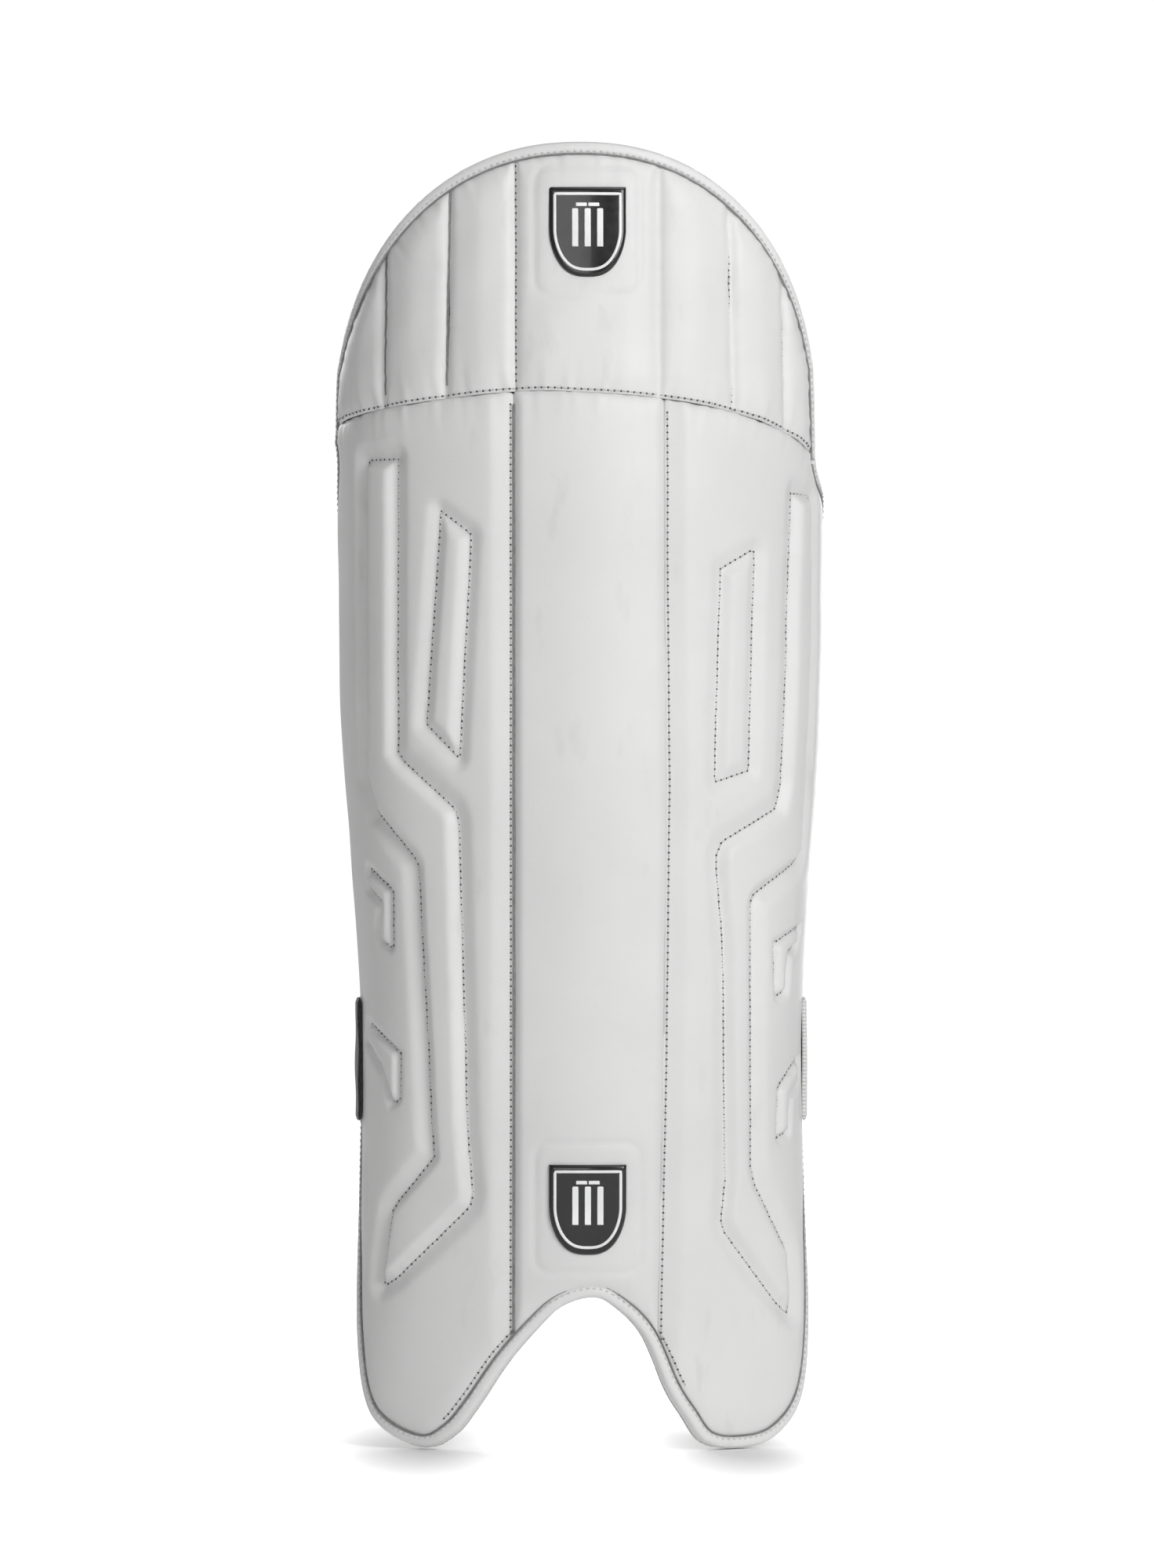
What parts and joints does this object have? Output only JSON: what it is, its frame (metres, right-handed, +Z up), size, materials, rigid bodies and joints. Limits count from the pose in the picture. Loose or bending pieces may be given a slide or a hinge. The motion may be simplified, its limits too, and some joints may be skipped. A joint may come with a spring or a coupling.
{
  "type": "cricket leg pad",
  "caption": "Padded cricket leg guard: channelled dome over the knee, stitched shin section with embossed wings, instep notch and hook-and-loop straps.",
  "frame": {"origin": "floor plane of the two instep lobes, in the middle of the pad in width and depth", "axes": "+Z up along the shin, the padded face looks along -Y, the wearer is on the +Y side, +X to the right seen from the front"},
  "size_m": [0.2589, 0.156, 0.6695],
  "materials": {
    "white_cover": "satin",
    "filling_foam": "matte",
    "dense_foam": "matte",
    "plate_plastic": "matte",
    "cane": "natural",
    "lining_mesh": "matte",
    "inner_padding": "matte",
    "edge_binding": "satin",
    "emblem_gloss": "gloss",
    "seam_tape": "matte",
    "white_webbing": "matte",
    "black_loop_fabric": "matte"
  },
  "bodies": {
    "shin": {"calf_strap_anchor": "white_webbing", "calf_strap_ear": "black_loop_fabric", "inner_bolster_left": "inner_padding", "inner_bolster_right": "inner_padding", "instep_pad": "inner_padding", "knee_strap_anchor": "white_webbing", "knee_strap_ear": "white_webbing", "lozenge_insert_left": "dense_foam", "lozenge_insert_right": "dense_foam", "ridge_insert_left": "dense_foam", "ridge_insert_right": "dense_foam", "shin_bolster_foam": "filling_foam", "shin_centre_cover": "white_cover", "shin_edge_binding": "edge_binding", "shin_emblem": "emblem_gloss", "shin_lining": "lining_mesh", "shin_plate": "plate_plastic", "vent_inserts_left": "dense_foam", "vent_inserts_right": "dense_foam", "wing_canes_left": "cane", "wing_canes_right": "cane", "wing_cover_left": "white_cover", "wing_cover_right": "white_cover", "wing_foam_left": "filling_foam", "wing_foam_right": "filling_foam"},
    "knee": {"knee_binding": "edge_binding", "knee_cover": "white_cover", "knee_cushion": "inner_padding", "knee_emblem": "emblem_gloss", "knee_foam_centre": "filling_foam", "knee_foam_left_inner": "filling_foam", "knee_foam_left_middle": "filling_foam", "knee_foam_left_outer": "filling_foam", "knee_foam_right_inner": "filling_foam", "knee_foam_right_middle": "filling_foam", "knee_foam_right_outer": "filling_foam", "knee_lining": "lining_mesh", "knee_plate": "plate_plastic", "knee_seam_tape": "seam_tape"},
    "calf_strap": {"calf_strap_band": "white_webbing"},
    "calf_tab": {"calf_strap_tab": "white_webbing"},
    "knee_strap": {"knee_strap_band": "white_webbing"},
    "knee_tab": {"knee_strap_tab": "white_webbing"}
  },
  "joints": [
    {"name": "knee_flex", "type": "hinge", "parent": "shin", "child": "knee", "pos_m": [0, -0.037, 0.535], "axis": [1, 0, 0], "range_deg": [-15, 12], "deforming": ["knee_seam_tape"]},
    {"name": "calf_strap_swing", "type": "hinge", "parent": "shin", "child": "calf_strap", "pos_m": [0.113, 0.0385, 0.1985], "axis": [0, 0, 1], "range_deg": [-150, 0]},
    {"name": "calf_tab_peel", "type": "hinge", "parent": "calf_strap", "child": "calf_tab", "pos_m": [-0.025, 0.07626, 0.1985], "axis": [0, 0, 1], "range_deg": [-120, 0]},
    {"name": "knee_strap_swing", "type": "hinge", "parent": "shin", "child": "knee_strap", "pos_m": [0.1007, 0.04179, 0.415], "axis": [0, 0, 1], "range_deg": [-150, 0]},
    {"name": "knee_tab_peel", "type": "hinge", "parent": "knee_strap", "child": "knee_tab", "pos_m": [-0.025, 0.07602, 0.415], "axis": [0, 0, 1], "range_deg": [-120, 0]}
  ]
}
